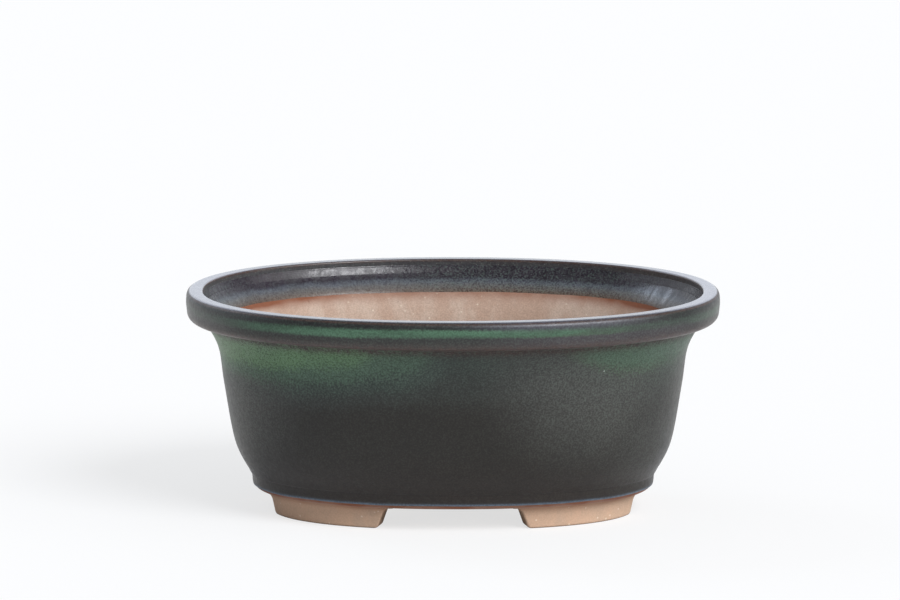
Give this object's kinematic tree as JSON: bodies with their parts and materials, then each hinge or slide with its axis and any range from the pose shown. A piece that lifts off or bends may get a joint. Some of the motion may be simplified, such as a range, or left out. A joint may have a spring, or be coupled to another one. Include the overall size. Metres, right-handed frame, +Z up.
{
  "type": "oval bonsai pot",
  "caption": "Oval glazed stoneware bonsai pot with a flat-topped lip, a flared wall, a base band, drain holes and cut feet.",
  "frame": {"origin": "on the surface the feet stand on, under the middle of the pot", "axes": "+X along the pot's length, +Y from its front to its back, +Z up out of its mouth"},
  "size_m": [0.2098, 0.1578, 0.0873],
  "materials": {
    "glaze": "satin green to black glaze",
    "bare_clay": "unglazed fired stoneware"
  },
  "bodies": {
    "root": {"rim_lip": "glaze", "wall": "glaze", "base_band": "glaze", "floor_slab": "bare_clay", "foot_front_left": "bare_clay", "foot_front_right": "bare_clay", "foot_rear_left": "bare_clay", "foot_rear_right": "bare_clay"}
  },
  "joints": []
}
